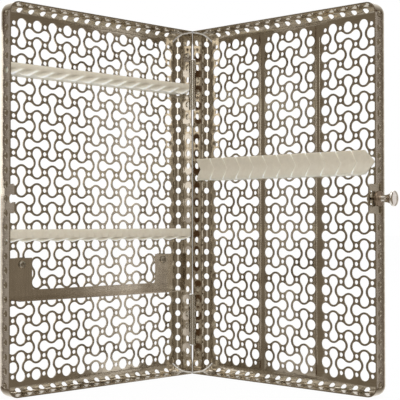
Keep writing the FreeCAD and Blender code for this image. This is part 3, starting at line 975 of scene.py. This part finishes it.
def knob():
    """Pull knob: stem, locking boss, collar coloured dark brown as a painted reflection of the dim room, with eased
    edges, and a neck that flares into the head.
    """
    soft = COLLAR_EASE / 3
    profile = [(STEM_END, 0), (STEM_END, STEM_RADIUS - STEM_EASE), (STEM_END + STEM_EASE, STEM_RADIUS),
               (BOSS_IN, STEM_RADIUS), (BOSS_IN, BOSS_RADIUS), (COLLAR_IN, BOSS_RADIUS)]
    edge = ((0.0, COLLAR_RADIUS - COLLAR_EASE), (soft, COLLAR_RADIUS - soft), (COLLAR_EASE, COLLAR_RADIUS))
    profile += [(COLLAR_IN + along, radius) for along, radius in edge]
    profile += [(COLLAR_OUT - along, radius) for along, radius in reversed(edge)]
    profile += [(COLLAR_OUT, NECK_RADIUS + NECK_FILLET), (COLLAR_OUT + COLLAR_EASE, NECK_RADIUS)]
    for step in range(FLARE_STEPS + 1):
        share = step / FLARE_STEPS
        profile.append((mix(COLLAR_OUT + NECK_RUN, KNOB_END - HEAD_RIM, share),
                        mix(NECK_RADIUS, HEAD_RADIUS, share ** FLARE_POWER)))
    profile += [(KNOB_END - before, HEAD_RADIUS - less) for before, less in HEAD_ROUNDING] + [(KNOB_END, 0)]
    start = place(LID, 0, LATCH_DROP, MIDDLE)
    way = (place(LID, 1, LATCH_DROP, MIDDLE) - start).normalized()
    turning = turned("latch_knob_turned", profile, start, way, KNOB_STEEL)
    turning.data.materials.append(COLLAR_DARK_REFLECTION_STEEL)
    # Faces up to the collar's end take the dark steel: a painted reflection.
    for face in turning.data.polygons:
        if (face.center - start).dot(way) < (COLLAR_OUT + PAINTED_REFLECTION_REACH) * MM:
            face.material_index = 1
    return turning


def screw(name, column):
    """Button-head screw with a hexagon socket."""
    u, z = lattice(column, SCREW_ROW, BASE)
    start = place(BASE, u, PANEL_INSIDE - BRACKET_SHEET, z)
    return turned(name, SCREW_PROFILE, start, Vector((0, -1, 0)), FASTENER_STEEL, 30.0, hexagon=SOCKET_RINGS)


def tube(name, paths, radius, material):
    """Round wire or weld along one or more lines of points."""
    curve = bpy.data.curves.new(name, "CURVE")
    curve.dimensions = "3D"
    curve.bevel_depth = radius * MM
    curve.bevel_resolution = TUBE_ROUNDING
    curve.use_fill_caps = True
    for path in paths:
        spline = curve.splines.new("POLY")
        spline.points.add(len(path) - 1)
        for point, place_in_row in zip(spline.points, path):
            point.co = (*place_in_row, 1.0)
    carrier = bpy.data.objects.new(name, curve)
    bpy.context.scene.collection.objects.link(carrier)
    depsgraph = bpy.context.evaluated_depsgraph_get()
    mesh = bpy.data.meshes.new_from_object(carrier.evaluated_get(depsgraph), depsgraph=depsgraph)
    bpy.data.objects.remove(carrier)
    smooth(mesh, 60.0)
    return mesh_object(name, mesh, material)


def corner_welds(side, name):
    """The polished seams inside the two hinge-side corners of a tray, coloured near-white as a painted highlight."""
    paths = []
    for turn in (1, -1):
        path = []
        for step in range(WELD_STEPS + 1):
            inward, depth = section(fold_length() * step / WELD_STEPS)
            inner = SHEET + inward * (FOLD_RADIUS - SHEET) / FOLD_RADIUS
            depth = PANEL_INSIDE - (TRAY_DEPTH - depth) * (FOLD_RADIUS - SHEET) / FOLD_RADIUS
            path.append((AXIS_OFFSET + inner, depth, inner))
        path.append((AXIS_OFFSET + SHEET, RIM_RELIEF, SHEET))
        paths.append([place(side, u, w, MIDDLE + turn * (MIDDLE - z)) for u, w, z in path])
    return tube(name, paths, WELD_RADIUS, WELD_PAINTED_HIGHLIGHT_STEEL)


def latch_spring():
    """The coil on the stem, between the clip and the plate."""
    first, last = STEM_END + 0.5, PLATE_SEAT - 0.1
    path = []
    for step in range(SPRING_STEPS + 1):
        share = step / SPRING_STEPS
        angle = 2 * math.pi * SPRING_TURNS * share
        path.append(place(LID, mix(first, last, share), LATCH_DROP + SPRING_RADIUS * math.cos(angle),
                          MIDDLE + SPRING_RADIUS * math.sin(angle)))
    return tube("latch_spring_wire", [path], SPRING_WIRE, LATCH_STEEL)


def make_fittings():
    declare(knob(), "latch", "polished_steel", "latch_knob")
    for end, column in SCREW_COLUMNS.items():
        declare(screw("bracket_screw_%s_turned" % end, column), "base", "fastener_steel", "bracket_screw_%s" % end)
    declare(corner_welds(BASE, "base_corner_welds"), "base", "tray_steel")
    declare(corner_welds(LID, "lid_corner_welds"), "lid", "tray_steel")
    declare(latch_spring(), "lid", "latch_steel", "latch_spring")


# Pieces that stay as the CAD has them

CARRIED = {
    "accessory_bracket": BRACKET_STEEL, "bracket_nut_front": FASTENER_STEEL, "bracket_nut_hinge": FASTENER_STEEL,
    "upper_hinge_base_leaf": HINGE_STEEL, "lower_hinge_base_leaf": HINGE_STEEL, "upper_hinge_lid_leaf": HINGE_STEEL,
    "lower_hinge_lid_leaf": HINGE_STEEL, "upper_hinge_pin": HINGE_STEEL, "lower_hinge_pin": HINGE_STEEL,
    "latch_plate": LATCH_STEEL, "latch_housing": LATCH_STEEL, "latch_clip": LATCH_STEEL,
}


def dress_carried():
    for name, material in CARRIED.items():
        node = frame["nodes"][name]
        node.data.materials.clear()
        node.data.materials.append(material)


# Stage, light and camera

CAMERA_FROM_AXIS = Vector((-492.4, -538.2, 110.8))
CAMERA_HEADING = Vector((0.6805, 0.7327, 0.0))
CAMERA_PITCH = math.radians(1.205)
CAMERA_LENS = 90.07
SENSOR_WIDTH = 36.0
CLIP_START = 0.01
FLOOR_HALF = 6.0
FLOOR_DROP = 0.0002
FLOOR_WHITE = 0.96
FLOOR_TONE = 0.86


def set_camera():
    data = bpy.data.cameras.new("photo_camera")
    data.sensor_width = SENSOR_WIDTH
    data.lens = CAMERA_LENS
    data.clip_start = CLIP_START
    camera = bpy.data.objects.new("photo_camera", data)
    camera.location = Vector((AXIS.x + CAMERA_FROM_AXIS.x, AXIS.y + CAMERA_FROM_AXIS.y, CAMERA_FROM_AXIS.z)) * MM
    heading = CAMERA_HEADING.normalized() * math.cos(CAMERA_PITCH) + Vector((0, 0, math.sin(CAMERA_PITCH)))
    camera.rotation_euler = heading.to_track_quat("-Z", "Y").to_euler()
    bpy.context.scene.collection.objects.link(camera)
    bpy.context.scene.camera = camera


def make_floor():
    """White floor: the camera sees it nearly plain with a faint shadow, and mirrored rays pass it."""
    paint = Paint(bpy.data.materials.new("studio_floor"))
    diffuse = paint.node("ShaderNodeBsdfDiffuse", Color=grey(FLOOR_TONE) + (1.0,))
    glow = paint.node("ShaderNodeEmission", Color=grey(1.0) + (1.0,), Strength=1.0)
    clear = paint.node("ShaderNodeBsdfTransparent", Color=grey(1.0) + (1.0,))
    plain = paint.node("ShaderNodeMixShader", i0=paint.ray("Camera") * FLOOR_WHITE, i1=diffuse, i2=glow)
    material = paint.close(paint.node("ShaderNodeMixShader", i0=paint.ray("Glossy"), i1=plain, i2=clear))
    mesh = bpy.data.meshes.new("floor")
    corners = ((-1, -1), (1, -1), (1, 1), (-1, 1))
    mesh.from_pydata([(x * FLOOR_HALF, y * FLOOR_HALF, -FLOOR_DROP) for x, y in corners], [], [(0, 1, 2, 3)])
    floor = mesh_object("floor", mesh, material)


ROOM_DIM = (0.25, 0.21, 0.16)
ROOM_DARK = (0.09, 0.05, 0.023)
WARM_WHITE = (1.0, 0.97, 0.92)
CAMERA_LIGHT_GAIN = 0.8
ROOM_GLOW = 0.85


def set_world():
    """The metal mirrors a dim warm room, a tall narrow light at the camera and the white ground behind."""
    world = bpy.data.worlds.new("studio")
    bpy.context.scene.world = world
    room = Paint(world)
    heading = CAMERA_HEADING.normalized()
    up = Vector((0, 0, 1))
    way = room.node("ShaderNodeTexCoord", output=0)

    def share(axis):
        return room.node("ShaderNodeVectorMath", {"operation": "DOT_PRODUCT"}, output=1, i0=way, i1=tuple(axis))

    def size(value):
        return room.maths("ABSOLUTE", value, 0.0)

    along = share(heading)
    sides = room.ramp(along * 0.5 + 0.5, (0.42, ROOM_DIM), (0.47, ROOM_DIM), (0.54, ROOM_DARK), (0.64, ROOM_DARK),
                      (0.7, ROOM_DIM))
    behind = room.ramp(along, (0.35, grey(0.0)), (0.75, grey(1.0)))
    narrow = room.ramp(size(share(heading.cross(up))), (0.1, grey(1.0)), (0.24, grey(0.0)))
    above = room.ramp(size(share(up)), (0.35, grey(0.0)), (0.8, grey(0.75)))
    bright = room.maths("MAXIMUM", room.maths("MAXIMUM", behind, narrow), above)
    tone = room.node("ShaderNodeMix", {"data_type": "RGBA"}, output=2, i0=bright, i6=sides, i7=WARM_WHITE + (1.0,))
    gain = narrow * (CAMERA_LIGHT_GAIN - 1.0) + 1.0
    dim = room.node("ShaderNodeBackground", Color=grey(ROOM_GLOW) + (1.0,))
    reflected = room.node("ShaderNodeBackground", Color=tone, Strength=gain)
    white = room.node("ShaderNodeBackground", Color=grey(1.0) + (1.0,))
    lit = room.node("ShaderNodeMixShader", i0=room.ray("Glossy"), i1=dim, i2=reflected)
    seen = room.maths("MAXIMUM", room.ray("Camera"), room.ray("Transmission"))
    room.close(room.node("ShaderNodeMixShader", i0=seen, i1=lit, i2=white), "ShaderNodeOutputWorld")


# Name, place, aim, size and watts; the cards are near and faint, for the steel to mirror
LAMPS = (
    ("key", (-0.3, -0.5, 1.3), (0.0, 0.0, 0.12), (1.0, 1.0), 5.0),
    ("back", (0.6, 0.7, 1.1), (0.0, 0.0, 0.12), (1.0, 1.0), 4.0),
    ("fold_card", (-0.243, -0.255, 0.3), (0.0628, 0.075, 0.3), (0.06, 0.22), 0.085),
    ("lid_card", (0.125, -0.035, 0.09), (0.0, -0.035, 0.09), (0.09, 0.22), 0.01),
    ("lid_band_card", (0.22, -0.18, 0.12), (0.078, -0.076, 0.12), (0.06, 0.34), 0.044),
    ("base_band_card", (-0.147, 0.127, 0.12), (-0.092, 0.068, 0.12), (0.045, 0.3), 0.016),
    ("base_card_high", (-0.14, 0.27, 0.2), (-0.14, 0.0, 0.2), (0.12, 0.135), 0.07),
    ("base_card_low", (-0.155, 0.27, 0.05), (-0.155, 0.0, 0.05), (0.1, 0.17), 0.04),
)


def set_lamps():
    for name, spot, aim, size, power in LAMPS:
        data = bpy.data.lights.new(name, "AREA")
        data.shape = "RECTANGLE"
        data.size, data.size_y = size
        data.energy = power
        lamp = bpy.data.objects.new(name, data)
        lamp.location = spot
        lamp.rotation_euler = (Vector(aim) - Vector(spot)).to_track_quat("-Z", "Y").to_euler()
        lamp.visible_camera = False
        bpy.context.scene.collection.objects.link(lamp)


set_camera()
make_trays()
make_soft()
make_fittings()
dress_carried()
make_floor()
set_world()
set_lamps()
bpy.context.scene.view_settings.view_transform = "Standard"
